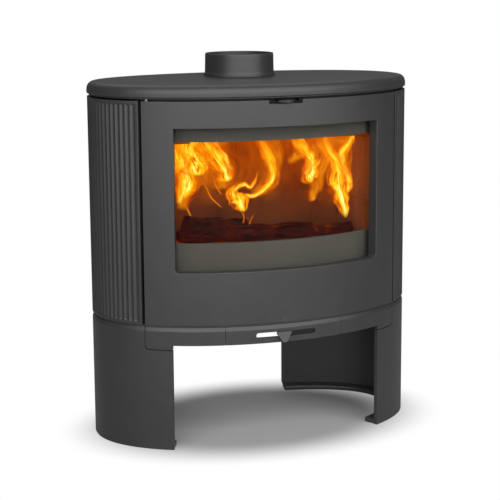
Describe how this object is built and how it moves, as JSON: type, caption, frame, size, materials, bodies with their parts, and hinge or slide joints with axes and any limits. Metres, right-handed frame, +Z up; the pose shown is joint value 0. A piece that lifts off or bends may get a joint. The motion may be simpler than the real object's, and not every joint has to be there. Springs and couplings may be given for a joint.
{
  "type": "wood stove",
  "caption": "Free-standing oval cast-iron wood stove on an open pedestal, with a curved glass door, fluted sides, air slides and a top flue collar.",
  "frame": {"origin": "on the floor, below the middle of the stove's bounding box", "axes": "+Z up, the door faces -Y, +X to the right as seen from in front of the door"},
  "size_m": [0.7136, 0.432, 0.8115],
  "materials": {
    "iron": "matt anthracite stove paint on fine cast iron",
    "inner_iron": "matt dark iron, dusty with soot",
    "steel": "plain sheet steel, dulled by heat",
    "firebrick": "pale pressed vermiculite, sooty at its edges",
    "rope": "knitted glass-fibre sealing rope",
    "glass": "clear ceramic glass, slightly bronze",
    "log_wood": "split firewood, charred",
    "ember": "glowing ember bed",
    "flame": "flames"
  },
  "bodies": {
    "stove": {"left_leg": "iron", "right_leg": "iron", "hearth_base": "iron", "left_apron": "iron", "right_apron": "iron", "middle_apron": "iron", "left_side_casting": "iron", "right_side_casting": "iron", "back_casting": "iron", "rear_outlet_cover": "iron", "top_plate": "iron", "flue_collar": "iron", "front_frame": "inner_iron", "firebox_casing": "inner_iron", "firebox_top": "inner_iron", "fire_bed": "inner_iron", "grate": "inner_iron", "log_guard": "inner_iron", "air_deflector": "inner_iron", "upper_slide_rail": "inner_iron", "lower_slide_tray": "inner_iron", "left_lining": "firebrick", "right_lining": "firebrick", "back_lining": "firebrick", "baffle_plate": "firebrick", "ash_pan": "steel", "lower_hinge_pin": "steel", "upper_hinge_pin": "steel", "latch_keeper": "steel"},
    "door": {"door": "iron", "door_glass": "glass", "glass_rope": "rope", "door_rope": "rope", "left_upper_glass_clip": "steel", "right_upper_glass_clip": "steel", "left_lower_glass_clip": "steel", "right_lower_glass_clip": "steel"},
    "latch": {"door_latch": "steel"},
    "upper_air": {"upper_air_slide": "steel"},
    "lower_air": {"lower_air_slide": "steel"}
  },
  "joints": [
    {"name": "door_hinge", "type": "hinge", "parent": "stove", "child": "door", "pos_m": [-0.2703, -0.11755, 0.5], "axis": [0, 0, -1], "range_deg": [0, 105]},
    {"name": "latch_turn", "type": "hinge", "parent": "door", "child": "latch", "pos_m": [0.2685, -0.11267, 0.5], "axis": [-0.5948, 0.8039, 0], "range_deg": [0, 90]},
    {"name": "upper_air_travel", "type": "slide", "parent": "stove", "child": "upper_air", "axis": [1, 0, 0], "range_m": [-0.018, 0.018]},
    {"name": "lower_air_travel", "type": "slide", "parent": "stove", "child": "lower_air", "axis": [1, 0, 0], "range_m": [-0.035, 0.045]}
  ]
}
